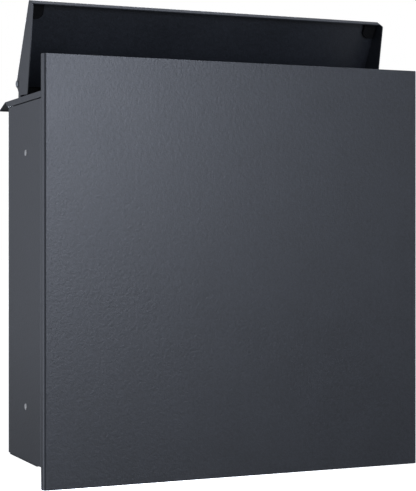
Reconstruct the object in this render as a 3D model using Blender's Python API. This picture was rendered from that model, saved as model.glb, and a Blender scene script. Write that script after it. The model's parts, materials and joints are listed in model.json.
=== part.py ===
"""Parcel drop box for a fence: fascia, folded body, top drop lid and rear door.

Metres, +Z up, -Y is the street side. The origin is the middle of the floor pan's underside.
"""
from math import atan2, cos, pi, radians, sin, tan

import bmesh
import bpy
from mathutils import Matrix, Vector

# ---------------------------------------------------------------- driving sizes
GAP = 0.0003                 # left between pieces that touch
SHEET = 0.0012               # body and door sheet
BEND = 0.0020                # outer radius of an ordinary fold
BEND_STEPS = 3

PANEL_WIDTH = 0.497
PANEL_HEIGHT = 0.500
PANEL_SHEET = 0.0015
PANEL_BEND = 0.0042
PANEL_RETURN = 0.0103
PANEL_DROP = 0.024           # the fascia hangs this far below the body

BODY_DEPTH = 0.1307
HALF_WIDTH = PANEL_WIDTH / 2
BODY_FRONT = -0.0654
BODY_REAR = BODY_FRONT + BODY_DEPTH
PANEL_FRONT = BODY_FRONT - GAP - PANEL_RETURN

TOP_SLOPE = radians(1.0)     # the top frame falls to the rear
FRAME_TOP = 0.4338           # at the body's front
FRAME_DROP = 0.0072          # height of the frame's side strip
SEAM = 0.0012                # open joint between the strip and the side wall
RIM = 0.0065
FRONT_RIM = 0.0074
FRAME_LENGTH = 0.1443        # front edge to the top of the eave
THROAT_REAR = 0.1164
EAVE_RUN = 0.0236
EAVE_FALL = 0.0079
EAVE_HEM = 0.0015

FRONT_FLANGE = 0.014
JAMB = 0.012
FLOOR_RELIEF = 0.0161        # the floor's front corners are cut back this far
FLOOR_SHORT = 0.0068         # and its rear edge stops this far short of the body's
PLUG_Y = -0.0078
PLUG_HEIGHTS = {"upper": 0.365, "lower": 0.065}
PLUG_HOLE = 0.0040
PLUG_RIM = 0.0060
STUD_R = 0.0025
STUD_SHOULDER_R = 0.0045
STUD_TIP = 0.0085            # how far a stud stands past the front wall
HEX_R = 0.0046               # middle to corner of a stud's nut
HEX_HEIGHT = 0.0040
DRAIN_R = 0.0030
RAIL_LEG = 0.010             # the door rails' narrow leg
SILL_SPAN = (0.0030, 0.0320)
HEADER_SPAN = (0.3960, 0.4228)

LID_HALF = 0.2399
LID_SHEET = 0.0012
LID_PIVOT = Vector((0.0, 0.0547, 0.4521))
LID_OPEN = radians(61.9)     # how far the stored lid stands open
LID_REACH = 0.1067           # pivot to the front fold
LID_TAIL = 0.0052            # pivot to the plate's rear edge
LID_RISE = 0.0061            # pivot to the plate's outer face
LID_LIP = 0.011
LID_CORNER = 0.0006          # open corner between the lip and each cheek
PIVOT_R = 0.0020
PIVOT_CLEAR = 0.0004
EAR_R = 0.0042
EAR_SHEET = 0.0020
WASHER = 0.0010
PAD = (0.0170, 0.0194, 0.0040)   # width, length and thickness of the lid's rubber pads
PAD_CORNER = 0.0080
SEAL_HALF = 0.2325
SEAL_FOOT = (0.0650, 0.0735)
SEAL_TOP = 0.4535
SEAL_SHEET = 0.0020
STOP_SPAN = (0.195, 0.210)
STOP_TOP = 0.4495
STOP_DEPTH = 0.0062
EAR_FOOT = (0.0515, 0.0610)
REST_SPAN = (0.2165, 0.2345)

DOOR_DEPTH = 0.008
DOOR_LEFT = -0.2455
DOOR_RIGHT = 0.238
DOOR_LOW = 0.006
DOOR_HIGH = 0.413
DOOR_FRONT = BODY_REAR + GAP
DOOR_FACE = DOOR_FRONT + DOOR_DEPTH
HINGE_X = 0.243
HINGE_Y = DOOR_FRONT + 0.0042
HINGE_HEIGHTS = {"upper": 0.330, "lower": 0.070}
KNUCKLE_R = 0.0036
KNUCKLE_LENGTH = 0.020
PIN_R = 0.0016

LOCK_X = -0.224
LOCK_Z = 0.210
LOCK_BARREL_R = 0.0090
LOCK_BORE_R = 0.0063
LOCK_HEAD_R = 0.0115
LOCK_HEAD = 0.0020           # the head's thickness outside the door
LOCK_LENGTH = 0.0130         # from under the head to the barrel's inner end
LOCK_NUT_R = 0.0130
LOCK_NUT = 0.0030
CAM_REACH = 0.0215
CAM_TIP_R = 0.0065
CAM_SHEET = 0.0022
CAM_SQUARE = 0.0025          # half the width of the square that carries the cam
PLUG_CORE_R = 0.0060

# ---------------------------------------------------------------- clean start
for old in list(bpy.data.objects):
    bpy.data.objects.remove(old, do_unlink=True)


# ---------------------------------------------------------------- materials
def paint(name, colour, roughness, metallic=0.0):
    material = bpy.data.materials.new(name)
    material.use_nodes = True
    shader = material.node_tree.nodes["Principled BSDF"]
    shader.inputs["Base Color"].default_value = (*colour, 1.0)
    shader.inputs["Roughness"].default_value = roughness
    shader.inputs["Metallic"].default_value = metallic
    material.diffuse_color = (*colour, 1.0)
    return material


COAT = paint("anthracite_coat", (0.035, 0.040, 0.050), 0.5)
ZINC = paint("zinc_plate", (0.55, 0.56, 0.57), 0.4, 1.0)
NICKEL = paint("nickel", (0.62, 0.60, 0.56), 0.25, 1.0)
RUBBER = paint("black_rubber", (0.012, 0.012, 0.013), 0.7)
GREY_PLASTIC = paint("grey_plastic", (0.40, 0.41, 0.43), 0.45)
NYLON = paint("nylon", (0.70, 0.69, 0.64), 0.5)


# ---------------------------------------------------------------- outlines
def arc(centre, radius, start, end, steps):
    """Points along an arc, its two ends included."""
    turns = [start + (end - start) * i / steps for i in range(steps + 1)]
    return [(centre[0] + radius * cos(t), centre[1] + radius * sin(t)) for t in turns]


def circle(centre, radius, steps=24):
    return arc(centre, radius, 0, 2 * pi * (steps - 1) / steps, steps - 1)


def rounded(path, radius, steps=BEND_STEPS):
    """The open path with each of its corners turned into an arc."""
    points = [Vector(p) for p in path]
    out = [tuple(points[0])]
    for earlier, corner, later in zip(points, points[1:], points[2:]):
        before = (earlier - corner).normalized()
        after = (later - corner).normalized()
        half = before.angle(after) / 2
        centre = corner + (before + after).normalized() * radius / sin(half)
        first = corner + before * radius / tan(half) - centre
        last = corner + after * radius / tan(half) - centre
        start = atan2(first.y, first.x)
        sweep = (atan2(last.y, last.x) - start + pi) % (2 * pi) - pi
        out += arc(centre, radius, start, start + sweep, steps)
    return out + [tuple(points[-1])]


def thicken(path, thickness):
    """Closed outline of a sheet whose outer face follows the path; the sheet lies on its left."""
    points = [Vector(p) for p in path]
    inner = []
    for i, point in enumerate(points):
        before = (point - points[i - 1]).normalized() if i else None
        after = (points[i + 1] - point).normalized() if i + 1 < len(points) else None
        along = (before or after) + (after or before)
        left = Vector((-along.y, along.x)).normalized()
        lean = left.dot(Vector((-(before or after).y, (before or after).x)))
        inner.append(tuple(point + left * thickness / lean))
    return [tuple(p) for p in points] + inner[::-1]


# ---------------------------------------------------------------- solids
AXES = {
    "X": lambda a, b, along: (along, a, b),
    "Y": lambda a, b, along: (a, along, b),
    "Z": lambda a, b, along: (a, b, along),
}


def keep(name, bm, material):
    bmesh.ops.recalc_face_normals(bm, faces=bm.faces)
    mesh = bpy.data.meshes.new(name)
    bm.to_mesh(mesh)
    bm.free()
    if material:
        mesh.materials.append(material)
    piece = bpy.data.objects.new(name, mesh)
    bpy.context.scene.collection.objects.link(piece)
    return piece


def prism(name, outline, axis, low, high, material=None):
    """The outline, extruded along the axis. It is drawn on the other two axes, in X, Y, Z order."""
    place = AXES[axis]
    bm = bmesh.new()
    corners = [bm.verts.new(place(a, b, low)) for a, b in outline]
    cap = bm.faces.new(corners)
    grown = bmesh.ops.extrude_face_region(bm, geom=[cap])
    moved = [v for v in grown["geom"] if isinstance(v, bmesh.types.BMVert)]
    shift = Vector(place(0, 0, high - low))
    bmesh.ops.translate(bm, verts=moved, vec=shift)
    return keep(name, bm, material)


def block(name, low, high, material=None):
    bm = bmesh.new()
    bmesh.ops.create_cube(bm, size=1)
    low, high = Vector(low), Vector(high)
    place = Matrix.Translation((low + high) / 2) @ Matrix.Diagonal((*(high - low), 1))
    bmesh.ops.transform(bm, matrix=place, verts=bm.verts)
    return keep(name, bm, material)


def turned(name, profile, axis, centre, material=None, steps=24):
    """A profile of (distance along the axis, radius), spun about the axis through the centre."""
    place = AXES[axis]
    bm = bmesh.new()
    verts = [bm.verts.new(place(centre[0], centre[1] + radius, along)) for along, radius in profile]
    edges = [bm.edges.new(pair) for pair in zip(verts, verts[1:])]
    line = Vector(place(0, 0, 1))
    bmesh.ops.spin(bm, geom=verts + edges, cent=Vector(place(*centre, 0)), axis=line,
                   angle=2 * pi, steps=steps, use_merge=True)
    bmesh.ops.remove_doubles(bm, verts=bm.verts, dist=1e-6)
    bmesh.ops.holes_fill(bm, edges=[e for e in bm.edges if e.is_boundary])
    piece = keep(name, bm, material)
    smooth(piece)
    return piece


def smooth(piece, angle=35):
    piece.data.shade_smooth()
    piece.data.set_sharp_from_angle(angle=radians(angle))


def boolean(piece, tools, operation):
    """Cuts or joins the tools into the piece, then removes them."""
    for tool in tools:
        change = piece.modifiers.new("shape", "BOOLEAN")
        change.operation = operation
        change.solver = "EXACT"
        change.object = tool
        bpy.context.view_layer.update()
        shaped = piece.evaluated_get(bpy.context.evaluated_depsgraph_get())
        mesh = bpy.data.meshes.new_from_object(shaped)
        piece.modifiers.remove(change)
        piece.data = mesh
        bpy.data.objects.remove(tool, do_unlink=True)
    return piece


def cut(piece, *tools):
    return boolean(piece, tools, "DIFFERENCE")


def fuse(piece, *others):
    return boolean(piece, others, "UNION")


def rod(axis, centre, radius, low, high, steps=24):
    return prism("tool", circle(centre, radius, steps), axis, low, high)


def each_side():
    return (("left", -1), ("right", 1))


# ---------------------------------------------------------------- fascia
def stud_places():
    return [(x, z) for z in (0.365, 0.060) for x in (-0.200, 0.200)]


def make_front_panel():
    """A sheet with rounded side returns, closed above and below by narrow flanges."""
    rear = PANEL_FRONT + PANEL_RETURN
    low, high = -PANEL_DROP, PANEL_HEIGHT - PANEL_DROP
    plan = [(HALF_WIDTH, rear), (HALF_WIDTH, PANEL_FRONT), (-HALF_WIDTH, PANEL_FRONT), (-HALF_WIDTH, rear)]
    folded = rounded(plan, PANEL_BEND, 8)
    panel = prism("front_panel", thicken(folded[::-1], PANEL_SHEET), "Z", low, high, COAT)
    for z in (low, high - PANEL_SHEET):
        fuse(panel, prism("tool", folded, "Z", z, z + PANEL_SHEET))
    smooth(panel)
    return panel


def make_fascia_fixings():
    wall_front = BODY_FRONT + SHEET + GAP
    wall_rear = wall_front + SHEET
    start = PANEL_FRONT + PANEL_SHEET + GAP
    for number, (x, z) in enumerate(stud_places(), 1):
        tip = wall_rear + STUD_TIP
        stud = [(start, 0), (start, STUD_SHOULDER_R), (wall_front - GAP, STUD_SHOULDER_R),
                (wall_front - GAP, STUD_R), (tip - 0.0005, STUD_R), (tip, STUD_R - 0.0005), (tip, 0)]
        turned(f"fascia_stud_{number}", stud, "Y", (x, z), ZINC, 20)
        hexagon = circle((x, z), HEX_R, 6)
        nut = prism(f"fascia_nut_{number}", hexagon, "Y", wall_rear + GAP, wall_rear + GAP + HEX_HEIGHT, ZINC)
        cut(nut, rod("Y", (x, z), STUD_R + GAP, wall_rear, wall_rear + 2 * HEX_HEIGHT, 20))


# ---------------------------------------------------------------- body
def seam_height(y):
    """Top edge of the side walls, which follows the frame's slope."""
    return FRAME_TOP - FRAME_DROP - SEAM - (y - BODY_FRONT) * tan(TOP_SLOPE)


def make_side_wall(side, sign):
    """Web with a front flange, a rear jamb and a foot that stands on the floor pan."""
    x = sign * HALF_WIDTH
    inner, jamb = x - sign * FRONT_FLANGE, x - sign * JAMB
    plan = [(inner, BODY_FRONT), (x, BODY_FRONT), (x, BODY_REAR), (jamb, BODY_REAR)]
    folded = rounded(plan, BEND)
    outline = thicken(folded if sign > 0 else folded[::-1], SHEET)
    low = SHEET + GAP
    wall = prism(f"side_wall_{side}", outline, "Z", low, FRAME_TOP, COAT)
    foot_front = BODY_FRONT + FLOOR_RELIEF
    foot_rear = BODY_REAR - FLOOR_SHORT
    fuse(wall, block("tool", (min(x, inner), foot_front, low), (max(x, inner), foot_rear, low + SHEET)))
    front, rear = BODY_FRONT - 0.01, BODY_REAR + 0.01
    above = [(front, seam_height(front)), (rear, seam_height(rear)), (rear, 0.5), (front, 0.5)]
    cut(wall, prism("tool", above, "X", x - 0.02, x + 0.02))
    cut(wall, *[rod("X", (PLUG_Y, z), PLUG_HOLE, x - 0.005, x + 0.005) for z in PLUG_HEIGHTS.values()])
    smooth(wall)


def make_hole_plug(side, sign, level):
    """Blanking plug pushed in from inside: its rim stays behind the sheet and its face nearly flush."""
    inside = HALF_WIDTH - SHEET - GAP
    face = HALF_WIDTH + 0.0002
    head = PLUG_HOLE - GAP
    profile = [(inside - 0.0022, 0), (inside - 0.0022, PLUG_RIM - 0.0008), (inside - 0.0012, PLUG_RIM),
               (inside, PLUG_RIM), (inside, head), (face, head), (face + 0.0002, head - 0.0004),
               (face + 0.0004, head / 2), (face + 0.0005, 0)]
    turned(f"hole_plug_{side}_{level}", [(sign * a, r) for a, r in profile], "X",
           (PLUG_Y, PLUG_HEIGHTS[level]), GREY_PLASTIC)


def make_floor_pan():
    """Floor sheet with relieved front corners, upturned front and rear edges and drain holes."""
    front, rear = BODY_FRONT + 2 * SHEET + 3 * GAP, BODY_REAR - FLOOR_SHORT
    relief = BODY_FRONT + FLOOR_RELIEF
    narrow = HALF_WIDTH - FRONT_FLANGE - SHEET
    half = [(narrow, front), (narrow, relief), (HALF_WIDTH, relief), (HALF_WIDTH, rear)]
    outline = half + [(-x, y) for x, y in half[::-1]]
    pan = prism("floor_pan", outline, "Z", 0, SHEET, COAT)
    upturn = 0.012
    for y in (front, rear - SHEET):
        fuse(pan, block("tool", (-narrow, y, 0), (narrow, y + SHEET, upturn)))
    drains = [(x, y) for x in (-0.19, 0.19) for y in (-0.035, 0.035)]
    cut(pan, *[rod("Z", place, DRAIN_R, -0.001, 0.002, 16) for place in drains])


def make_front_wall():
    front = BODY_FRONT + SHEET + GAP
    half = HALF_WIDTH - SHEET - GAP
    top = FRAME_TOP - SHEET - 6 * GAP
    wall = block("front_wall", (-half, front, SHEET + GAP), (half, front + SHEET, top), COAT)
    cut(wall, *[rod("Y", place, STUD_R + GAP, front - 0.001, front + 0.003, 20) for place in stud_places()])


def make_cross_rails():
    """The sill and the header of the rear doorway, each a folded angle."""
    half = HALF_WIDTH - SHEET - GAP
    face = BODY_REAR - SHEET - GAP
    low, high = SILL_SPAN
    sill = [(face, low), (face, high), (face - RAIL_LEG, high)]
    prism("rear_sill", thicken(rounded(sill, BEND), SHEET), "X", -half, half, COAT)
    low, high = HEADER_SPAN
    header = [(face - RAIL_LEG, low), (face, low), (face, high)]
    prism("rear_header", thicken(rounded(header, BEND), SHEET), "X", -half, half, COAT)


# ---------------------------------------------------------------- top frame
def make_top_frame():
    """Rim of inverted channels round the throat, with the rear plate and its eave.

    Drawn level from its front top edge, then tipped to the slope."""
    length, drop, half = FRAME_LENGTH, FRAME_DROP, HALF_WIDTH
    frame = block("top_frame", (-half, 0, -drop), (half, length, 0), COAT)
    under = -drop - 0.001
    cut(frame, block("tool", (-half + SHEET, SHEET, under), (half - SHEET, length + 0.001, -SHEET)))
    throat_half = half - RIM
    notch_inner = LID_HALF - LID_SHEET - 0.0009
    notch_rear = THROAT_REAR + 0.0146
    cut(frame, block("tool", (-throat_half, FRONT_RIM, under), (throat_half, THROAT_REAR, 0.001)))
    for sign in (-1, 1):
        inner, outer = sorted((sign * notch_inner, sign * throat_half))
        cut(frame, block("tool", (inner, THROAT_REAR - 0.001, under), (outer, notch_rear, 0.001)))
        near, far = sorted((sign * throat_half, sign * (throat_half + SHEET)))
        fuse(frame, block("tool", (near, FRONT_RIM - SHEET, -drop), (far, notch_rear, -SHEET / 2)))
    fuse(frame, block("tool", (-throat_half - SHEET / 2, FRONT_RIM - SHEET, -drop),
                      (throat_half + SHEET / 2, FRONT_RIM, -SHEET / 2)))
    rear = length + 0.002
    cut_back = [(length - 0.0123, under), (rear, under), (rear, -SHEET), (length - 0.002, -SHEET)]
    cut(frame, prism("tool", cut_back, "X", -half - 0.001, half + 0.001))
    tip = (length + EAVE_RUN, -EAVE_FALL)
    eave = [(length - 0.004, 0), (length, 0), tip, (tip[0] + 0.0002, tip[1] - EAVE_HEM)]
    fuse(frame, prism("tool", thicken(eave[::-1], SHEET), "X", -half, half))
    frame.location = (0, BODY_FRONT, FRAME_TOP)
    frame.rotation_euler.x = -TOP_SLOPE


def frame_height(y):
    """Top surface of the frame's rear plate."""
    return FRAME_TOP - (y - BODY_FRONT) * tan(TOP_SLOPE)


def make_rear_seal():
    """Rubber angle bonded behind the lid's tail, and the two rubber stops of the open lid before it."""
    front, rear = SEAL_FOOT
    foot = frame_height(front) + GAP
    path = [(rear, foot), (front, foot), (front, SEAL_TOP)]
    prism("rear_seal", thicken(rounded(path, BEND)[::-1], SEAL_SHEET), "X", -SEAL_HALF, SEAL_HALF, RUBBER)
    face = front - GAP
    foot = frame_height(face - STOP_DEPTH) + GAP
    for side, sign in each_side():
        near, far = sorted(sign * x for x in STOP_SPAN)
        block(f"lid_stop_{side}", (near, face - STOP_DEPTH, foot), (far, face, STOP_TOP), RUBBER)


def make_pivot_bracket(side, sign):
    """Angle with a round-topped ear that carries one pivot of the lid."""
    front, rear = EAR_FOOT
    foot = frame_height(front) + GAP
    ear_outer = LID_HALF - LID_SHEET - WASHER - 2 * GAP
    ear_inner = ear_outer - EAR_SHEET
    centre = (LID_PIVOT.y, LID_PIVOT.z)
    outline = [(front, foot), (rear, foot)] + arc(centre, EAR_R, radians(8), radians(172), 10)
    low, high = sorted((sign * ear_inner, sign * ear_outer))
    bracket = prism(f"pivot_bracket_{side}", outline, "X", low, high, COAT)
    near, far = sorted((sign * (ear_inner - 0.014), sign * (ear_inner + 0.0005)))
    fuse(bracket, block("tool", (near, front + 0.0015, foot), (far, rear, foot + EAR_SHEET)))
    cut(bracket, rod("X", centre, PIVOT_R + PIVOT_CLEAR, low - 0.001, high + 0.001))


def make_pivot_fixings(side, sign):
    """Shouldered rivet with a domed head outside the cheek, and a friction washer inside it."""
    centre = (LID_PIVOT.y, LID_PIVOT.z)
    outside = LID_HALF + GAP
    ear_inner = LID_HALF - LID_SHEET - WASHER - 2 * GAP - EAR_SHEET
    inside = ear_inner - GAP
    profile = [(inside - 0.0018, 0), (inside - 0.0018, 0.0028), (inside - 0.0012, 0.0034), (inside, 0.0034),
               (inside, PIVOT_R), (outside, PIVOT_R), (outside, 0.0045), (outside + 0.0004, 0.0044),
               (outside + 0.0009, 0.0036), (outside + 0.0012, 0.0020), (outside + 0.0013, 0)]
    turned(f"pivot_rivet_{side}", [(sign * a, r) for a, r in profile], "X", centre, ZINC)
    low, high = sorted((sign * (LID_HALF - LID_SHEET - GAP), sign * (LID_HALF - LID_SHEET - GAP - WASHER)))
    washer = prism(f"pivot_washer_{side}", circle(centre, 0.0041), "X", low, high, NYLON)
    cut(washer, rod("X", centre, PIVOT_R + PIVOT_CLEAR, low - 0.001, high + 0.001))


def make_lid_rest(side, sign):
    """Folded bracket that stands inside the throat under one front corner of the lid."""
    front = BODY_FRONT + FRONT_RIM + GAP
    hook = FRAME_TOP - 0.0022
    base = FRAME_TOP - 0.0062
    top = LID_PIVOT.z + LID_RISE - LID_SHEET - PAD[2] - 2 * GAP - SHEET
    post, end = front + 0.0092, front + 0.0250
    path = [(front, hook), (front, base), (post, base), (post, top), (end, top)]
    low, high = sorted(sign * x for x in REST_SPAN)
    prism(f"lid_rest_{side}", thicken(rounded(path, 0.0016), SHEET), "X", low, high, ZINC)


# ---------------------------------------------------------------- lid
def make_lid(pivot):
    """Plate, lip and tapered cheeks, drawn closed about the pivot and stored open."""
    half, rise, sheet = LID_HALF, LID_RISE, LID_SHEET
    taper = [(-LID_REACH, -0.0123), (-0.0052, -0.0434), (0.0094, -0.0125), (LID_TAIL, -0.0030)]
    turns = rounded([(-LID_REACH, rise)] + taper + [(LID_TAIL, 0.0)], 0.0025)[1:-1]
    outline = [(-LID_REACH, rise)] + turns + [(LID_TAIL, 0.0), (LID_TAIL, rise)]
    lid = prism("lid", outline, "X", -half, half, COAT)
    round_folds(lid, BEND)
    inner_half = half - sheet
    inner_front = -LID_REACH + sheet
    beyond = -LID_REACH - 0.001
    cut(lid, block("tool", (-inner_half, inner_front, -0.06), (inner_half, 0.03, rise - sheet)))
    lip_end = rise - LID_LIP
    cut(lid, block("tool", (-inner_half, beyond, -0.03), (inner_half, inner_front + 0.001, lip_end)))
    for sign in (-1, 1):
        near, far = sorted((sign * (inner_half - LID_CORNER), sign * inner_half))
        cut(lid, block("tool", (near, beyond, -0.03), (far, inner_front + 0.0001, rise - BEND)))
        cut(lid, rod("X", (0, 0), PIVOT_R + PIVOT_CLEAR, sign * half - 0.003, sign * half + 0.003))
    smooth(lid)
    hang(lid, pivot)


def round_folds(lid, radius):
    """Rounds the folds between the lid's plate and its lip and cheeks."""
    bm = bmesh.new()
    bm.from_mesh(lid.data)
    top = [e for e in bm.edges if all(abs(v.co.z - LID_RISE) < 1e-6 for v in e.verts)]
    folds = [e for e in top if any(v.co.y < 0 for v in e.verts)]
    bmesh.ops.bevel(bm, geom=folds, offset=radius, segments=BEND_STEPS, profile=0.5, affect="EDGES")
    bm.to_mesh(lid.data)
    bm.free()


def make_lid_bumper(side, sign, pivot):
    """Rubber pad in the lid's front corner, rounded at its free corner."""
    width, length, thickness = PAD
    inner = sign * (LID_HALF - LID_SHEET - GAP - 0.0010)
    far = inner - sign * width
    front = -LID_REACH + LID_SHEET + GAP + 0.0010
    rear = front + length
    top = LID_RISE - LID_SHEET - GAP
    corner = (far + sign * PAD_CORNER, rear - PAD_CORNER)
    turn = arc(corner, PAD_CORNER, pi / 2, pi if sign > 0 else 0, 6)
    outline = [(inner, front), (inner, rear)] + turn + [(far, front)]
    pad = prism(f"lid_bumper_{side}", outline, "Z", top - thickness, top, RUBBER)
    hang(pad, pivot)


def hang(piece, pivot):
    piece.parent = pivot


def make_lid_group():
    pivot = bpy.data.objects.new("lid_pivot", None)
    bpy.context.scene.collection.objects.link(pivot)
    pivot.location = LID_PIVOT
    pivot.rotation_euler.x = -LID_OPEN
    make_lid(pivot)
    for side, sign in each_side():
        make_lid_bumper(side, sign, pivot)
    for side, sign in each_side():
        make_pivot_bracket(side, sign)
        make_pivot_fixings(side, sign)
        make_lid_rest(side, sign)


# ---------------------------------------------------------------- rear door
def make_rear_door(pivot):
    """Shallow pan, open towards the body, with a hole for the lock."""
    low = (DOOR_LEFT, DOOR_FRONT, DOOR_LOW)
    high = (DOOR_RIGHT, DOOR_FACE, DOOR_HIGH)
    door = block("rear_door", low, high, COAT)
    soften(door, 0.0010)
    cut(door, block("tool", (DOOR_LEFT + SHEET, DOOR_FRONT - 0.002, DOOR_LOW + SHEET),
                    (DOOR_RIGHT - SHEET, DOOR_FACE - SHEET, DOOR_HIGH - SHEET)))
    cut(door, rod("Y", (LOCK_X, LOCK_Z), LOCK_BARREL_R + GAP, DOOR_FRONT, DOOR_FACE + 0.001, 32))
    swing(door, pivot)


def soften(piece, width):
    """Rounds the long edges of the door's outer face."""
    bm = bmesh.new()
    bm.from_mesh(piece.data)
    outer = [e for e in bm.edges if all(abs(v.co.y - DOOR_FACE) < 1e-6 for v in e.verts)]
    bmesh.ops.bevel(bm, geom=outer, offset=width, segments=2, profile=0.5, affect="EDGES")
    bm.to_mesh(piece.data)
    bm.free()


def make_door_stiffener(pivot):
    """Hat section across the inside of the door."""
    back = DOOR_FACE - SHEET - GAP
    ridge = DOOR_FRONT + 0.0018
    z = LOCK_Z
    path = [(back, z - 0.022), (back, z - 0.012), (ridge, z - 0.009), (ridge, z + 0.009), (back, z + 0.012),
            (back, z + 0.022)]
    stiffener = prism("door_stiffener", thicken(path, 0.0010), "X", -0.195, 0.225, ZINC)
    swing(stiffener, pivot)


def make_hinge(level, pivot):
    """Pin hinge: the lower knuckle is welded to the body, the upper one to the door."""
    low = HINGE_HEIGHTS[level]
    middle = low + KNUCKLE_LENGTH
    top = middle + 0.0005 + KNUCKLE_LENGTH
    centre = (HINGE_X, HINGE_Y)
    bore = PIN_R + GAP
    fixed = prism(f"frame_knuckle_{level}", circle(centre, KNUCKLE_R), "Z", low, middle, COAT)
    fuse(fixed, block("tool", (HINGE_X - 0.0020, DOOR_FRONT, low),
                      (HINGE_X + 0.0020, HINGE_Y - 0.0020, middle)))
    cut(fixed, rod("Z", centre, bore, low - 0.001, middle + 0.001))
    smooth(fixed)
    moving = prism(f"door_knuckle_{level}", circle(centre, KNUCKLE_R), "Z", middle + 0.0005, top, COAT)
    fuse(moving, block("tool", (DOOR_RIGHT + GAP, HINGE_Y - 0.0018, middle + 0.0005),
                       (HINGE_X - 0.0020, HINGE_Y + 0.0018, top)))
    cut(moving, rod("Z", centre, bore, middle - 0.001, top + 0.001))
    smooth(moving)
    swing(moving, pivot)
    pin = [(low + 0.001, 0), (low + 0.001, PIN_R), (top + 0.001, PIN_R), (top + 0.001, 0.0026),
           (top + 0.002, 0.0024), (top + 0.0025, 0)]
    turned(f"hinge_pin_{level}", pin, "Z", centre, ZINC)


def swing(piece, pivot):
    piece.parent = pivot
    piece.matrix_parent_inverse = Matrix.Translation(-Vector(pivot.location))


def make_lock(pivot):
    """Cam lock: threaded body and nut in the door, and a core that turns the cam behind the jamb."""
    centre = (LOCK_X, LOCK_Z)
    head = DOOR_FACE + GAP
    inner_end = head - LOCK_LENGTH
    face = head + LOCK_HEAD
    profile = [(inner_end, 0), (inner_end, LOCK_BARREL_R - 0.0006), (inner_end + 0.0006, LOCK_BARREL_R),
               (head, LOCK_BARREL_R), (head, LOCK_HEAD_R), (face - 0.0008, LOCK_HEAD_R),
               (face, LOCK_HEAD_R - 0.0010), (face, 0)]
    body = turned("lock_body", profile, "Y", centre, NICKEL, 32)
    cut(body, rod("Y", centre, LOCK_BORE_R, inner_end - 0.001, head + 0.003, 32))
    smooth(body)
    swing(body, pivot)
    nut_rear = DOOR_FACE - SHEET - GAP
    nut = prism("lock_nut", circle(centre, LOCK_NUT_R, 6), "Y", nut_rear - LOCK_NUT, nut_rear, NICKEL)
    cut(nut, rod("Y", centre, LOCK_BARREL_R + GAP, nut_rear - 2 * LOCK_NUT, nut_rear + 0.001, 32))
    swing(nut, pivot)
    make_lock_core(pivot, centre, head, inner_end)


def make_lock_core(pivot, centre, head, inner_end):
    """The core with its key slot and square end, and the cam and screw on it."""
    face = head + LOCK_HEAD - 0.0004
    core = [(inner_end - GAP, 0), (inner_end - GAP, PLUG_CORE_R), (face, PLUG_CORE_R), (face, 0)]
    plug = turned("lock_plug", core, "Y", centre, NICKEL, 32)
    cam_front = inner_end - 2 * GAP - CAM_SHEET
    cut(plug, block("tool", (LOCK_X - 0.0006, face - 0.0040, LOCK_Z - 0.0036),
                    (LOCK_X + 0.0006, face + 0.001, LOCK_Z + 0.0036)))
    fuse(plug, block("tool", (LOCK_X - CAM_SQUARE, cam_front - 0.0002, LOCK_Z - CAM_SQUARE),
                     (LOCK_X + CAM_SQUARE, inner_end + 0.001, LOCK_Z + CAM_SQUARE)))
    smooth(plug)
    swing(plug, pivot)
    shape = arc((LOCK_X, LOCK_Z), 0.0075, radians(-30), radians(210), 12)
    shape += arc((LOCK_X, LOCK_Z - CAM_REACH + CAM_TIP_R), CAM_TIP_R, radians(180), radians(360), 8)
    cam = prism("lock_cam", shape, "Y", cam_front, cam_front + CAM_SHEET, ZINC)
    hole = CAM_SQUARE + GAP
    cut(cam, block("tool", (LOCK_X - hole, cam_front - 0.001, LOCK_Z - hole),
                   (LOCK_X + hole, cam_front + 0.003, LOCK_Z + hole)))
    swing(cam, pivot)
    under = cam_front - 0.0005
    screw = [(under - 0.0028, 0), (under - 0.0028, 0.0020), (under - 0.0020, 0.0038),
             (under, 0.0040), (under, 0)]
    swing(turned("cam_screw", screw, "Y", centre, ZINC), pivot)


def make_door_group():
    pivot = bpy.data.objects.new("door_pivot", None)
    bpy.context.scene.collection.objects.link(pivot)
    pivot.location = (HINGE_X, HINGE_Y, 0)
    make_rear_door(pivot)
    make_door_stiffener(pivot)
    for level in HINGE_HEIGHTS:
        make_hinge(level, pivot)
    make_lock(pivot)


# ---------------------------------------------------------------- assembly
make_front_panel()
make_fascia_fixings()
for side_name, side_sign in each_side():
    make_side_wall(side_name, side_sign)
    for level_name in PLUG_HEIGHTS:
        make_hole_plug(side_name, side_sign, level_name)
make_floor_pan()
make_front_wall()
make_cross_rails()
make_top_frame()
make_rear_seal()
make_lid_group()
make_door_group()
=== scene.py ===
# %% [markdown]
# # A parcel drop box in powder-coated steel
#
# This lesson dresses a finished engineering model of a fence-mounted parcel drop box. The model already
# holds every sheet, hinge, rivet and pad at its real size. What is left to make is what the eye reads:
# how a folded sheet catches light along its edges, how a fine-textured powder coat breaks up a
# reflection, and the small marks of the workshop such as weld beads, threads and moulded rubber.
#
# Most pieces take their place and size from the model. The few fixed distances are named where they are
# used.

# %% Load the model
import json
from math import cos, pi, radians, sin

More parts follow.
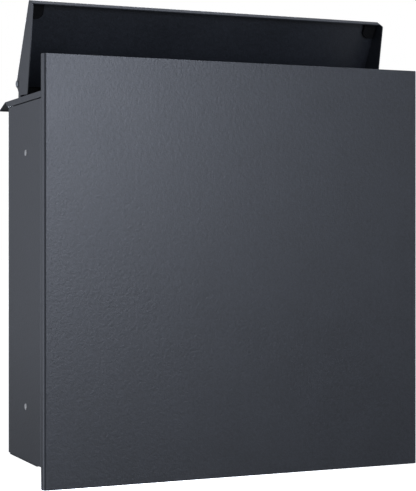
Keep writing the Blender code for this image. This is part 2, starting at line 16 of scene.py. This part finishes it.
import bmesh
import bpy
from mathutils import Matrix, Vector


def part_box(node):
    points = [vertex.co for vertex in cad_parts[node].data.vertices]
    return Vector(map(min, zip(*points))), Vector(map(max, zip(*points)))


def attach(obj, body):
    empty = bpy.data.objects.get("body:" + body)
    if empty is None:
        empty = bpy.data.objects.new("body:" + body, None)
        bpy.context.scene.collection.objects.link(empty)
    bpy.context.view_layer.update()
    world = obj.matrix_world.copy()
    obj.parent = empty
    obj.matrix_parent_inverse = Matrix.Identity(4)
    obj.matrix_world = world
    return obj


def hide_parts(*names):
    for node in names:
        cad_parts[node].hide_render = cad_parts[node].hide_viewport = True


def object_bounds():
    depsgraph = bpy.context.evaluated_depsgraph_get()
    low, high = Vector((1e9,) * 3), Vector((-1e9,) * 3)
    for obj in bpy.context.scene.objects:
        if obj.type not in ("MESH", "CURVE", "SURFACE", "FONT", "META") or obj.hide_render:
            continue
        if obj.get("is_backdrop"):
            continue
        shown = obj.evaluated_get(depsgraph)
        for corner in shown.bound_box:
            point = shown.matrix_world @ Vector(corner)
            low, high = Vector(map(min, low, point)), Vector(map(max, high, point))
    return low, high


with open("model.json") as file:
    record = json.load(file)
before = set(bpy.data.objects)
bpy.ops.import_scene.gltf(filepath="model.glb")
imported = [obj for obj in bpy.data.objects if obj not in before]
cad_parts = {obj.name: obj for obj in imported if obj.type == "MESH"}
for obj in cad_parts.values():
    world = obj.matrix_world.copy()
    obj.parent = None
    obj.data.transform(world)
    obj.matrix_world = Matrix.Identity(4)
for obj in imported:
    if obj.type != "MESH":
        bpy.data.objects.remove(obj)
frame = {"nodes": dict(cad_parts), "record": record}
cad_box = [list(corner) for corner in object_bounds()]
nodes = frame["nodes"]

# %% [markdown]
# ## Camera
#
# The box is looked at from its front left, level with its middle. The lens is long and stays level, so
# that upright edges stay upright, and a small shift of the lens centres the box with its open lid. That
# is what a shift lens is for. Tilting the camera instead would make the fascia's sides lean towards each
# other.

# %% Camera
VIEW_TURN = radians(24.04)
LENS = 110.3
LENS_SHIFT = -0.0399
STAND = (-0.7763, -1.7194, 0.2786)

camera = bpy.data.objects.new("camera", bpy.data.cameras.new("camera"))
bpy.context.scene.collection.objects.link(camera)
camera.data.lens = LENS
camera.data.sensor_width = 36
camera.data.shift_y = LENS_SHIFT
camera.location = STAND
camera.rotation_euler = (radians(90), 0, -VIEW_TURN)
bpy.context.scene.camera = camera
print(f"camera stands {-STAND[1]:.2f} m in front of the origin")

# %% [markdown]
# ## Studio
#
# Dark satin metal shows its lights more than its own colour, so the studio decides how the piece looks.
# Two soft lights in front, with a weak fill beside them, shade the fascia from bright to dark. The low
# left and rear left ones give the side wall its even tone, and the rest serve the lid and the other
# sides. Each row below holds a light's place, its width and height, and its watts. Small hard lights
# would leave hot spots on every fold.

# %% Studio
FLOOR_DROP = 0.45
CENTRE = (0.0, 0.0, 0.25)
COOL = (0.93, 1.0, 1.18)
ROOM_COLOUR, ROOM_STRENGTH = (0.92, 0.95, 1.0, 1.0), 0.157
FLOOR_HALF = 30
SOFTBOXES = {
    "front_softbox": ((0.0, -2.4, 0.6), (1.4, 1.4), 13.7),
    "upper_softbox": ((0.3, -2.2, 0.9), (0.8, 0.8), 5.4),
    "right_fill": ((1.3, -1.9, 0.6), (1.2, 1.2), 1.1),
    "right_softbox": ((2.3, 0.3, 0.6), (1.2, 1.6), 9.0),
    "low_left_softbox": ((-2.0, 0.3, 0.1), (1.8, 1.8), 11.6),
    "rear_left_softbox": ((-1.6, 1.7, 0.6), (1.4, 1.6), 4.3),
    "rear_softbox": ((0.6, 2.5, 0.7), (1.5, 1.6), 75.0),
    "overhead_softbox": ((0.2, 0.4, 2.4), (1.2, 1.0), 10.0),
    "rear_upper_softbox": ((0.6, 0.9, 1.3), (1.0, 1.0), 0.6),
}


def softbox(name, place, size, power):
    """A rectangular soft light aimed at the middle of the box."""
    lamp = bpy.data.lights.new(name, "AREA")
    lamp.shape = "RECTANGLE"
    lamp.size, lamp.size_y = size
    lamp.energy = power
    lamp.color = COOL
    stand = bpy.data.objects.new(name, lamp)
    bpy.context.scene.collection.objects.link(stand)
    stand.location = place
    stand.rotation_euler = (Vector(CENTRE) - Vector(place)).to_track_quat("-Z", "Y").to_euler()
    stand.visible_camera = False


for name, (place, size, power) in SOFTBOXES.items():
    softbox(name, place, size, power)

world = bpy.data.worlds.new("studio_room")
world.use_nodes = True
bpy.context.scene.world = world
tree = world.node_tree
backdrop = tree.nodes["Background"]
backdrop.inputs["Color"].default_value = (1.0, 1.0, 1.0, 1.0)
room = tree.nodes.new("ShaderNodeBackground")
room.inputs["Color"].default_value = ROOM_COLOUR
room.inputs["Strength"].default_value = ROOM_STRENGTH
seen = tree.nodes.new("ShaderNodeLightPath")
either = tree.nodes.new("ShaderNodeMixShader")
tree.links.new(seen.outputs["Is Camera Ray"], either.inputs[0])
tree.links.new(room.outputs[0], either.inputs[1])
tree.links.new(backdrop.outputs[0], either.inputs[2])
tree.links.new(either.outputs[0], tree.nodes["World Output"].inputs["Surface"])
bpy.context.scene.view_settings.view_transform = "Standard"

mesh = bpy.data.meshes.new("floor")
build = bmesh.new()
bmesh.ops.create_grid(build, x_segments=1, y_segments=1, size=FLOOR_HALF)
build.to_mesh(mesh)
build.free()
floor = bpy.data.objects.new("floor", mesh)
bpy.context.scene.collection.objects.link(floor)
floor.location.z = cad_box[0][2] - FLOOR_DROP
floor.visible_diffuse = False
floor.visible_glossy = False
floor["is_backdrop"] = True
print("studio ready")

# %% [markdown]
# ## Talking to shader nodes
#
# A material is a small program. Written as plain Python expressions it stays readable, so this class
# wraps one output socket and lets `+`, `-` and `*` add the Math nodes. Colours go through Mix nodes,
# because a Math node would turn them grey. Every other node comes from the one method `node`.

# %% Shader helper
class Socket:
    """One output of a shader tree. Arithmetic on it adds Math nodes."""

    def __init__(self, output):
        self.output = output
        self.tree = output.id_data

    def node(self, kind, settings=None, inputs=None, out=0):
        """A node of any type: its settings first, then the values or links of its sockets."""
        made = self.tree.nodes.new(kind)
        for key, value in (settings or {}).items():
            setattr(made, key, value)
        for key, value in (inputs or {}).items():
            feed(made.inputs[key], value)
        return Socket(made.outputs[out])

    def math(self, operation, other, clamp=False):
        return self.node("ShaderNodeMath", {"operation": operation, "use_clamp": clamp}, {0: self, 1: other})

    def __add__(self, other):
        return self.math("ADD", other)

    def __sub__(self, other):
        return self.math("SUBTRACT", other)

    def __mul__(self, other):
        return self.math("MULTIPLY", other)

    def __rsub__(self, other):
        return self * -1.0 + other

    def limited(self):
        return self.math("ADD", 0.0, clamp=True)

    def blend(self, low, high):
        """A colour that goes from low to high as this value goes from 0 to 1."""
        return self.node("ShaderNodeMix", {"data_type": "RGBA"}, {0: self, 6: low, 7: high}, out=2)


def feed(socket, value):
    """Links a Socket into an input, or sets a plain value on it."""
    if isinstance(value, Socket):
        socket.id_data.links.new(value.output, socket)
    else:
        socket.default_value = value


print("shader helper ready")

# %% [markdown]
# ## Starting a finish
#
# Each finish begins with one Principled shader and the place of a point on the object, in metres. Noise
# measured in metres keeps the same grain on a large fascia and on a small bracket, which a texture
# stretched over each piece would not. The noise is centred on zero, so that adding it to a roughness or a
# colour leaves the average alone.

# %% Start of a finish
def start_finish(name, roughness, metallic=0.0, specular=0.5):
    material = bpy.data.materials.new(name)
    material.use_nodes = True
    shader = material.node_tree.nodes["Principled BSDF"]
    shader.inputs["Roughness"].default_value = roughness
    shader.inputs["Metallic"].default_value = metallic
    shader.inputs["Specular IOR Level"].default_value = specular
    place = Socket(material.node_tree.nodes.new("ShaderNodeTexCoord").outputs["Object"])
    return material, shader.inputs, place


def grain(place, size, detail=2.0):
    """Noise from about -0.5 to 0.5 whose lumps are roughly `size` metres across."""
    inputs = {"Vector": place, "Scale": 1 / size, "Detail": detail}
    return place.node("ShaderNodeTexNoise", None, inputs) - 0.5


def relief(height, depth, below=None):
    """A bump normal, `depth` metres high, laid over the normal below it."""
    inputs = {"Height": height, "Distance": depth, "Strength": 1.0}
    if below:
        inputs["Normal"] = below
    return height.node("ShaderNodeBump", None, inputs)


def shade(colour, factor):
    return (*(channel * factor for channel in colour), 1.0)


print("finishes can start")

# %% [markdown]
# ## Anthracite powder coat
#
# Powder is sprayed on dry and baked until it flows. It never flows quite flat: it leaves a fine pebble of
# a millimetre or two on a slower ripple like orange peel, and its gloss drifts a little where the layer
# is thicker. On a sharp sheet edge it draws back and looks slightly paler. A plain dark colour with one
# roughness would show none of this, and a picture of a coated sheet would be fixed to one scale. Three
# layers of noise give the surface, and the angle between the real normal and a bevelled one finds the
# edges.

# %% Powder coat
COAT_COLOUR = (0.0203, 0.0235, 0.0300)
PEBBLE, PEEL, DRIFT = 0.0016, 0.0045, 0.060
PEBBLE_DEPTH, PEEL_DEPTH = 0.00012, 0.00014
COAT_ROUGHNESS = 0.38
PALE_EDGE = 0.0006


def edges(place, width):
    """One on sharp edges, falling to zero a `width` away from them."""
    soft = place.node("ShaderNodeBevel", {"samples": 6}, {"Radius": width})
    true = place.node("ShaderNodeNewGeometry", out="Normal")
    match = soft.node("ShaderNodeVectorMath", {"operation": "DOT_PRODUCT"}, {0: soft, 1: true}, out="Value")
    return ((1.0 - match) * 5.0).limited()


def powder_coat():
    material, shader, place = start_finish("powder_coat", COAT_ROUGHNESS, specular=1.0)
    pebble, peel, drift = (grain(place, size) for size in (PEBBLE, PEEL, DRIFT))
    tone = (pebble * 1.4 + peel * 0.5 + drift * 0.3 + 0.5).limited()
    coat = tone.blend(shade(COAT_COLOUR, 0.40), shade(COAT_COLOUR, 1.60))
    worn = edges(place, PALE_EDGE) * 0.30
    feed(shader["Base Color"], worn.blend(coat, shade(COAT_COLOUR, 3.2)))
    feed(shader["Roughness"], peel * 0.05 + drift * 0.05 + COAT_ROUGHNESS)
    feed(shader["Normal"], relief(pebble, PEBBLE_DEPTH, relief(peel, PEEL_DEPTH)))
    return material


print(f"pebble {1000 * PEBBLE:.1f} mm, peel {1000 * PEEL:.1f} mm")

# %% [markdown]
# ## Zinc and nickel
#
# The small steel parts, such as nuts, pins and the lid's rests, are zinc-plated: a cool grey metal with
# cloudy patches left by the bath. The lock is nickel-plated and polished on a spindle, so its face
# carries fine rings about its own axis. Both are full metals, so their colour sits in the reflection, and
# what tells them apart is how rough and how patchy they are. The rivets' heads were set with a tool and
# are duller than the rest.

# %% Metals
NICKEL_DARK, NICKEL_PALE = (0.47, 0.45, 0.41, 1), (0.72, 0.70, 0.66, 1)


def zinc(name, colour, roughness):
    material, shader, place = start_finish(name, roughness, metallic=1.0)
    cloud, fine = grain(place, 0.006, 3.0), grain(place, 0.0005)
    tone = (cloud * 1.2 + fine * 0.5 + 0.5).limited()
    cool = (colour[0] * 0.74, colour[1] * 0.76, colour[2] * 0.80, 1.0)
    warm = (colour[0] * 1.24, colour[1] * 1.22, colour[2] * 1.16, 1.0)
    feed(shader["Base Color"], tone.blend(cool, warm))
    feed(shader["Roughness"], cloud * 0.30 + fine * 0.10 + roughness)
    feed(shader["Normal"], relief(fine, 0.00004))
    return material


def nickel():
    material, shader, place = start_finish("nickel_plate", 0.24, metallic=1.0)
    low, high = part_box("lock_plug")
    centre = (low + high) / 2
    from_axis = place.node("ShaderNodeVectorMath", {"operation": "SUBTRACT"}, {0: place, 1: centre})
    rings = from_axis.node("ShaderNodeTexWave", {"wave_type": "RINGS", "rings_direction": "Y"},
                           {"Vector": from_axis, "Scale": 900.0, "Distortion": 1.5, "Detail": 2.0}, out="Fac")
    wear = grain(place, 0.004, 3.0)
    feed(shader["Base Color"], (wear * 1.5 + 0.5).limited().blend(NICKEL_DARK, NICKEL_PALE))
    feed(shader["Roughness"], wear * 0.20 + rings * 0.08 + 0.20)
    feed(shader["Normal"], relief(rings, 0.000006))
    return material


print("metals ready")

# %% [markdown]
# ## Rubber, nylon and moulded plastic
#
# The lid's pads, its stops and the seal behind it are black rubber, which is matt and a little dusty. The
# blanking plugs are pale moulded plastic with a fine spark-eroded texture, and the friction washers are
# natural nylon that lets a little light in. All three are dull and non-metallic, so the grain and the
# colour drift carry them.

# %% Rubber and plastics
def rubber():
    material, shader, place = start_finish("black_rubber", 0.8, specular=0.2)
    skin, dust = grain(place, 0.0006), grain(place, 0.005, 4.0)
    worn = (dust * 1.4 + edges(place, 0.0008) * 0.4 + 0.2).limited()
    feed(shader["Base Color"], worn.blend((0.0035, 0.0036, 0.004, 1), (0.011, 0.011, 0.012, 1)))
    feed(shader["Roughness"], dust * 0.15 + 0.78)
    feed(shader["Normal"], relief(skin, 0.00008))
    return material


def moulded(name, colour, roughness, glow=0.0):
    material, shader, place = start_finish(name, roughness)
    shader["Subsurface Weight"].default_value = glow
    shader["Subsurface Scale"].default_value = 0.002
    spark, flow = grain(place, 0.00035), grain(place, 0.009, 3.0)
    tone = (spark * 0.5 + flow * 0.9 + 0.5).limited()
    feed(shader["Base Color"], tone.blend(shade(colour, 0.90), shade(colour, 1.08)))
    feed(shader["Roughness"], flow * 0.15 + roughness)
    feed(shader["Normal"], relief(spark, 0.00003))
    return material


FINISHES = {
    "powder_coat": powder_coat(),
    "zinc_plate": zinc("zinc_plate", (0.50, 0.51, 0.52), 0.38),
    "nickel_plate": nickel(),
    "black_rubber": rubber(),
    "grey_plastic": moulded("grey_plastic", (0.70, 0.69, 0.66), 0.42),
    "white_nylon": moulded("white_nylon", (0.70, 0.69, 0.62), 0.45, glow=0.15),
}
RIVET_METAL = zinc("rivet_metal", (0.30, 0.31, 0.32), 0.50)
print(f"{len(FINISHES)} finishes ready")

# %% [markdown]
# ## Dressing the sheet metal
#
# The engineering model's folds are built of narrow flat strips, and its edges are perfectly sharp. Real
# sheared sheet is broken at the edge, and the coat rounds it further, so every edge shows a thin line of
# light. Four modifiers give that without touching the shape. The first joins the loose triangles and
# smooths across gentle angles. The second melts flat triangles into whole faces, so that the third can
# run one clean bevel along each edge. The last lets the large flats decide the shading, because a smooth
# fold would otherwise pull a false gradient across the whole panel beside it. A light line painted into
# the material would look the same from every side, and a real edge doesn't.

# %% Edge dressing
BREAK = {"powder_coat": 0.00016, "zinc_plate": 0.00020, "nickel_plate": 0.00015, "black_rubber": 0.00070,
         "grey_plastic": 0.00015, "white_nylon": 0.00015}
SMOOTH_BELOW = radians(35)
JOIN_WITHIN = 0.000005
FLAT_WITHIN = radians(0.5)


def smoothing_group():
    """Geometry nodes that join split triangles and smooth every edge below the limit angle."""
    group = bpy.data.node_groups.new("join_and_smooth", "GeometryNodeTree")
    group.interface.new_socket("Geometry", in_out="INPUT", socket_type="NodeSocketGeometry")
    group.interface.new_socket("Geometry", in_out="OUTPUT", socket_type="NodeSocketGeometry")
    entry, leave = group.nodes.new("NodeGroupInput"), group.nodes.new("NodeGroupOutput")
    strip = group.nodes.new("GeometryNodeRemoveAttribute")
    strip.inputs["Name"].default_value = "custom_normal"
    join = group.nodes.new("GeometryNodeMergeByDistance")
    join.inputs["Distance"].default_value = JOIN_WITHIN
    faces, creases = (group.nodes.new("GeometryNodeSetShadeSmooth") for _ in range(2))
    creases.domain = "EDGE"
    creases.inputs["Shade Smooth"].default_value = False
    angle, limit = group.nodes.new("GeometryNodeInputMeshEdgeAngle"), group.nodes.new("FunctionNodeCompare")
    limit.inputs["B"].default_value = SMOOTH_BELOW
    chain = [entry, strip, join, faces, creases, leave]
    for earlier, later in zip(chain, chain[1:]):
        group.links.new(earlier.outputs[0], later.inputs[0])
    group.links.new(angle.outputs["Unsigned Angle"], limit.inputs["A"])
    group.links.new(limit.outputs[0], creases.inputs["Selection"])
    return group


JOIN_AND_SMOOTH = smoothing_group()


def break_edges(piece, width):
    joining = piece.modifiers.new("join_and_smooth", "NODES")
    joining.node_group = JOIN_AND_SMOOTH
    melting = piece.modifiers.new("whole_faces", "DECIMATE")
    melting.decimate_type = "DISSOLVE"
    melting.angle_limit = FLAT_WITHIN
    breaking = piece.modifiers.new("broken_edges", "BEVEL")
    breaking.width = width
    breaking.segments = 2
    breaking.limit_method = "ANGLE"
    breaking.angle_limit = SMOOTH_BELOW
    leaning = piece.modifiers.new("flats_lead", "WEIGHTED_NORMAL")
    leaning.weight = 100
    leaning.keep_sharp = True


slots = {part["node"]: part["material_slot"] for part in frame["record"]["subparts"]}
for name, piece in nodes.items():
    for index in range(len(piece.material_slots)):
        piece.material_slots[index].material = FINISHES[slots[name]]
    break_edges(piece, BREAK[slots[name]])
print(f"dressed {len(nodes)} pieces")

# %% [markdown]
# ## A small lathe
#
# Rivets, plugs, studs, nuts and lock parts are all turned or nearly so. One lathe function makes them
# from a profile. Each point of the profile may name a rule that changes its radius around the turn: a
# thread is a groove that moves along as it turns, and a hexagon is six flats. That gives real threads and
# chamfered nuts, where a plain cylinder would read as a stand-in and a bump map would leave its outline
# smooth.

# %% Lathe
AXES = {
    "X": lambda a, b, along: (along, a, b),
    "Y": lambda a, b, along: (a, along, b),
    "Z": lambda a, b, along: (a, b, along),
}


def keep(name, build, body, slot, stands_for=(), material=None):
    """Turns a bmesh into a dressed piece that rides on a body."""
    bmesh.ops.recalc_face_normals(build, faces=build.faces)
    mesh = bpy.data.meshes.new(name)
    build.to_mesh(mesh)
    build.free()
    mesh.materials.append(material or FINISHES[slot])
    mesh.shade_smooth()
    mesh.set_sharp_from_angle(angle=SMOOTH_BELOW)
    piece = bpy.data.objects.new(name, mesh)
    bpy.context.scene.collection.objects.link(piece)
    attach(piece, body)
    if stands_for:
        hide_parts(*stands_for)


def lathe(profile, axis, centre, sides=64, closed=False):
    """A bmesh turned about an axis from (along, radius) or (along, radius, rule) points."""
    build = bmesh.new()
    place = AXES[axis]
    rings = []
    for along, radius, *rule in profile:
        ring = []
        for step in range(sides if radius else 1):
            turn = step / sides
            reach = rule[0](along, turn, radius) if rule else radius
            ring.append(build.verts.new(place(centre[0] + reach * cos(2 * pi * turn),
                                              centre[1] + reach * sin(2 * pi * turn), along)))
        rings.append(ring)
    later = rings[1:] + (rings[:1] if closed else [])
    for ring, following in zip(rings, later):
        for step in range(sides):
            beside = (step + 1) % sides
            corners = [ring[step % len(ring)], ring[beside % len(ring)],
                       following[beside % len(following)], following[step % len(following)]]
            build.faces.new(dict.fromkeys(corners))
    return build


def thread(pitch, depth):
    """A rule that cuts a V groove, one turn for each pitch."""
    return lambda along, turn, radius: radius - depth * abs(((along / pitch + turn) % 1.0) * 2.0 - 1.0)


def hexagon(corner):
    """A rule that trims a radius to six flats."""
    flat = corner * cos(pi / 6)
    return lambda along, turn, radius: min(radius, flat / cos((turn * 6 % 1.0) * pi / 3 - pi / 6))


def stretch(low, high, spacing):
    """Evenly spaced places from low to high."""
    count = max(1, round(abs(high - low) / spacing))
    return [low + (high - low) * i / count for i in range(count + 1)]


print("lathe ready")

# %% [markdown]
# ## Rivets and plugs
#
# The lid turns on two rivets. The setting tool leaves a low dome with a small dimple in the middle. The
# blanking plugs close the holes that a neighbouring box or a post would be screwed through. They sit
# almost flush, with a small radius at the rim and the dimple of the moulding gate in the middle. Both
# replace their engineering solids, which are coarser in outline.

# %% Rivets and plugs
SHEET = 0.0012
CLEARANCE = 0.0003
RIVET_SHANK_R = 0.0020
PLUG_FACE_R = 0.0037
TAIL_R, TAIL_HEIGHT = 0.0034, 0.0018     # the rivet's set end inside the lid's ear
DOME_STEPS = 6


def middle(node, first, second):
    """The centre of a node on two of its axes, numbered from 0."""
    low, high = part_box(node)
    centre = (low + high) / 2
    return centre[first], centre[second]


def half_size(node, axis):
    low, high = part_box(node)
    return (high[axis] - low[axis]) / 2


def make_rivet(side, sign):
    node = f"pivot_rivet_{side}"
    low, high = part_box(node)
    outer, inner = max(abs(low.x), abs(high.x)), min(abs(low.x), abs(high.x))
    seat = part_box("lid")[1].x + CLEARANCE
    radius = half_size(node, 2)
    height = outer - seat
    risen = [step / DOME_STEPS for step in range(1, DOME_STEPS + 1)]
    dome = [(seat + height * (1 - (1 - t) ** 2.2), radius * (1 - 0.62 * t ** 1.6)) for t in risen]
    profile = [(inner, 0), (inner, TAIL_R - 0.0008), (inner + 0.0006, TAIL_R), (inner + TAIL_HEIGHT, TAIL_R),
               (inner + TAIL_HEIGHT, RIVET_SHANK_R), (seat, RIVET_SHANK_R), (seat, radius - 0.0002),
               (seat + 0.0002, radius)] + dome + [(outer - 0.00025, radius * 0.30), (outer - 0.0003, 0)]
    build = lathe([(sign * along, reach) for along, reach in profile], "X", middle(node, 1, 2))
    keep(f"set_rivet_{side}", build, "housing", "zinc_plate", [node], RIVET_METAL)


def make_plug(side, sign, level):
    node = f"hole_plug_{side}_{level}"
    low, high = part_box(node)
    face, inner = max(abs(low.x), abs(high.x)), min(abs(low.x), abs(high.x))
    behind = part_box("side_wall_right")[1].x - SHEET - CLEARANCE
    rim = half_size(node, 2)
    shoulder = [(face - 0.0004 + 0.0004 * sin(t), PLUG_FACE_R - 0.0004 + 0.0004 * cos(t))
                for t in stretch(0, pi / 2, pi / 8)]
    profile = [(inner, 0), (inner, rim - 0.0008), (inner + 0.0010, rim), (behind, rim), (behind, PLUG_FACE_R)]
    profile += shoulder + [(face, 0.0012), (face - 0.00015, 0.0009), (face - 0.00015, 0)]
    build = lathe([(sign * along, reach) for along, reach in profile], "X", middle(node, 1, 2))
    keep(f"moulded_plug_{side}_{level}", build, "housing", "grey_plastic", [node])


for side, sign in (("left", -1), ("right", 1)):
    make_rivet(side, sign)
    for level in ("upper", "lower"):
        make_plug(side, sign, level)
print("2 rivets and 4 plugs turned")

# %% [markdown]
# ## Studs and nuts behind the fascia
#
# Four shouldered studs hold the fascia off the body. They are seen through the throat and the open door,
# so they get rolled threads and chamfered hexagon nuts. The thread has the pitch of M5 and is a little
# shallower than a real one.

# %% Studs and nuts
STUD_PITCH, STUD_DEPTH = 0.0008, 0.00036
STUD_R = 0.0025


def make_stud(number):
    node = f"fascia_stud_{number}"
    low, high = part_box(node)
    shoulder = half_size(node, 0)
    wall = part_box("front_wall")[0].y - CLEARANCE
    groove = thread(STUD_PITCH, STUD_DEPTH)
    profile = [(low.y, 0), (low.y, shoulder - 0.0004), (low.y + 0.0004, shoulder), (wall, shoulder),
               (wall, STUD_R), (wall + 0.0018, STUD_R)]
    profile += [(y, STUD_R, groove) for y in stretch(wall + 0.0020, high.y - 0.0006, STUD_PITCH / 6)]
    profile += [(high.y, STUD_R - STUD_DEPTH - 0.0004), (high.y, 0)]
    build = lathe(profile, "Y", middle(node, 0, 2), 36)
    keep(f"threaded_stud_{number}", build, "housing", "zinc_plate", [node])


def make_nut(node, bore, body, slot, name):
    """A hexagon nut with a 30 degree chamfer on both faces."""
    low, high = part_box(node)
    corner = half_size(node, 0)
    chamfer = 0.10 * corner
    flats = hexagon(corner)
    ends = stretch(0, 1, 0.25)
    lower = [(low.y + chamfer * t, corner * (0.88 + 0.12 * t), flats) for t in ends]
    upper = [(high.y - chamfer * t, corner * (0.88 + 0.12 * t), flats) for t in ends[::-1]]
    profile = [(low.y, bore + 0.0003)] + lower + upper + [(high.y, bore + 0.0003), (high.y - 0.0003, bore),
                                                          (low.y + 0.0003, bore)]
    build = lathe(profile, "Y", middle(node, 0, 2), 72, closed=True)
    keep(name, build, body, slot, [node])


for number in range(1, 5):
    make_stud(number)
    make_nut(f"fascia_nut_{number}", STUD_R + CLEARANCE, "housing", "zinc_plate", f"hexagon_nut_{number}")
print("4 studs threaded, 4 nuts chamfered")

# %% [markdown]
# ## The cam lock
#
# The lock's body is a threaded barrel with a flanged head. A stepped bezel round the core guides the key,
# and a thin hexagon nut clamps it to the door. From behind, the bezel is the one bright thing on the
# door, so its steps are turned into the profile.

# %% Lock
LOCK_PITCH, LOCK_DEPTH = 0.0010, 0.00050
BARREL_R, BORE_R = 0.0090, 0.0063
RIM_EDGE = 0.0006


def make_lock_body():
    low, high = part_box("lock_body")
    head_r = half_size("lock_body", 0)
    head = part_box("rear_door")[1].y + CLEARANCE
    groove = thread(LOCK_PITCH, LOCK_DEPTH)
    barrel = [(y, BARREL_R, groove) for y in stretch(low.y + 0.0006, head - 0.0014, LOCK_PITCH / 6)]
    rim = [(head + 0.0012 + RIM_EDGE * sin(t), head_r - RIM_EDGE + RIM_EDGE * cos(t))
           for t in stretch(0, pi / 2, pi / 8)]
    bezel = [(high.y - 0.0002, 0.0088), (high.y - 0.0008, 0.0086), (high.y - 0.0008, 0.0080),
             (high.y, 0.0076), (high.y, BORE_R + 0.0003), (high.y - 0.0004, BORE_R), (low.y, BORE_R)]
    profile = [(low.y, BARREL_R - 0.0008)] + barrel + [(head - 0.0010, BARREL_R - 0.0003),
                                                      (head, BARREL_R - 0.0003), (head, head_r)]
    build = lathe(profile + rim + bezel, "Y", middle("lock_body", 0, 2), 72, closed=True)
    keep("threaded_lock_body", build, "rear_door", "nickel_plate", ["lock_body"])


make_lock_body()
make_nut("lock_nut", BARREL_R + CLEARANCE, "rear_door", "nickel_plate", "chamfered_lock_nut")
print("lock body and nut turned")

# %% [markdown]
# ## Weld beads and spot welds
#
# The knuckles are welded to the body and to the door, and the lid's ears to the top frame. A hand weld is
# a row of overlapping puddles, so a bead is a thin rod whose radius swells once for each puddle. The sill
# and the header are spot-welded to the jambs, which leaves a small ring pressed up round each shallow
# dish. Both are coated over with the rest, and both show that the pieces were joined and not cut from one
# block.

# %% Welds
BEAD_R, PUDDLE = 0.0010, 0.0013
SPOT_R = 0.0024
JAMB_MIDDLE = 0.2418         # from the middle of the box to the middle of a jamb
HEADER_LIFT = 0.0090         # from the header's middle up to its spot welds


def make_bead(name, axis, low, high, centre, body):
    def swell(along):
        taper = min(1.0, (along - low) / (2 * BEAD_R) + 0.35, (high - along) / (2 * BEAD_R) + 0.35)
        return BEAD_R * taper * (0.78 + 0.22 * abs(sin(pi * (along - low) / PUDDLE)))

    rings = [(along, swell(along)) for along in stretch(low, high, PUDDLE / 8)]
    keep(name, lathe([(low, 0)] + rings + [(high, 0)], axis, centre, 16), body, "powder_coat")


def make_spot(name, centre, face):
    lift, sink = 0.00015, 0.0002
    profile = [(face - sink, SPOT_R + 0.0006), (face, SPOT_R + 0.0005), (face + lift, SPOT_R + 0.0002),
               (face + lift, SPOT_R), (face + lift * 0.3, SPOT_R - 0.0004), (face + lift * 0.2, 0)]
    keep(name, lathe([(face - sink, 0)] + profile, "Y", centre, 32), "housing", "powder_coat")


def weld_hinge(level):
    low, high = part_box(f"frame_knuckle_{level}")
    hinge_x = (low.x + high.x) / 2
    for place, offset in (("inner", -0.0026), ("outer", 0.0026)):
        make_bead(f"frame_weld_{level}_{place}", "Z", low.z + 0.0005, high.z - 0.0005,
                  (hinge_x + offset, low.y), "housing")
    low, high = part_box(f"door_knuckle_{level}")
    door_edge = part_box("rear_door")[1].x
    for place, offset in (("front", -0.0022), ("rear", 0.0022)):
        make_bead(f"door_weld_{level}_{place}", "Z", low.z + 0.0005, high.z - 0.0005,
                  (door_edge + CLEARANCE, (low.y + high.y) / 2 + offset), "rear_door")


def weld_ear(side, sign):
    low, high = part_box(f"pivot_bracket_{side}")
    inner = high.x if sign < 0 else low.x
    make_bead(f"ear_weld_{side}", "Y", low.y + 0.0018, high.y - 0.0003, (inner, low.z + 0.0004), "housing")


for level in ("upper", "lower"):
    weld_hinge(level)
for side, sign in (("left", -1), ("right", 1)):
    weld_ear(side, sign)
jamb_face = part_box("side_wall_left")[1].y
spots = [(x, middle(rail, 0, 2)[1] + lift) for x in (-JAMB_MIDDLE, JAMB_MIDDLE)
         for rail, lift in (("rear_sill", 0.0), ("rear_header", HEADER_LIFT))]
for number, place in enumerate(spots, 1):
    make_spot(f"spot_weld_{number}", place, jamb_face)
print(f"10 beads and {len(spots)} spot welds")

# %% [markdown]
# ## Floor
#
# The box floats well above a pale floor, as a product on an invisible stand does, so that its underside
# is open to light. The floor glows, which keeps it as pale as the backdrop. It is hidden from reflected
# and scattered rays, so its glow doesn't reach the box.

# %% Floor
ground, ground_shader, place = start_finish("pale_floor", 0.8)
mottle = (grain(place, 0.4) * 0.5 + 0.5).blend((0.86, 0.86, 0.86, 1), (0.9, 0.9, 0.9, 1))
feed(ground_shader["Base Color"], mottle)
ground_shader["Emission Color"].default_value = (1.0, 1.0, 1.0, 1.0)
ground_shader["Emission Strength"].default_value = 0.93
floor.data.materials.append(ground)
print("floor dressed")

# %% [markdown]
# ## Sizes
#
# A dressed model that outgrew its engineering model would no longer fit its place, so both boxes are
# measured and the largest difference between them is printed.

# %% Sizes
visual_box = [list(corner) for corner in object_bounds()]
growth = max(abs(a - b) for cad, visual in zip(cad_box, visual_box) for a, b in zip(cad, visual))
print(f"largest growth {1000 * growth:.2f} mm")
